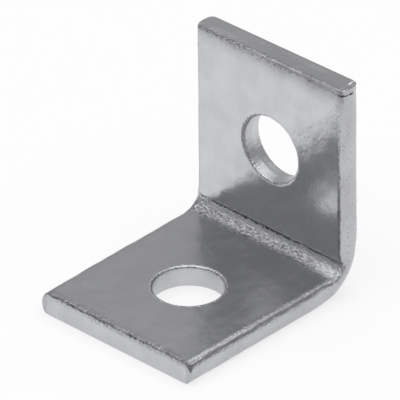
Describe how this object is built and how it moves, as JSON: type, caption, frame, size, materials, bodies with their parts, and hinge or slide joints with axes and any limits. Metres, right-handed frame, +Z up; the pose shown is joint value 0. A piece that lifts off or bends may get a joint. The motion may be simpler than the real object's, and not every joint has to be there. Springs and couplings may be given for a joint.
{
  "type": "angle bracket",
  "caption": "Square-folded flat-bar angle bracket with a punched bolt hole through each leg, for joining two members at a right angle.",
  "frame": {"origin": "middle of the bracket's footprint, on the plane of the foot leg's underside", "axes": "+X across the bar, +Z up along the upright leg, -Y along the foot leg away from the fold"},
  "size_m": [0.0412, 0.05, 0.0482],
  "materials": {
    "zinc_plated_steel": "bright zinc plate over hot-rolled mill surface, semi-gloss with a fine orange peel"
  },
  "bodies": {
    "root": {"angle_bracket": "zinc_plated_steel"}
  },
  "joints": []
}
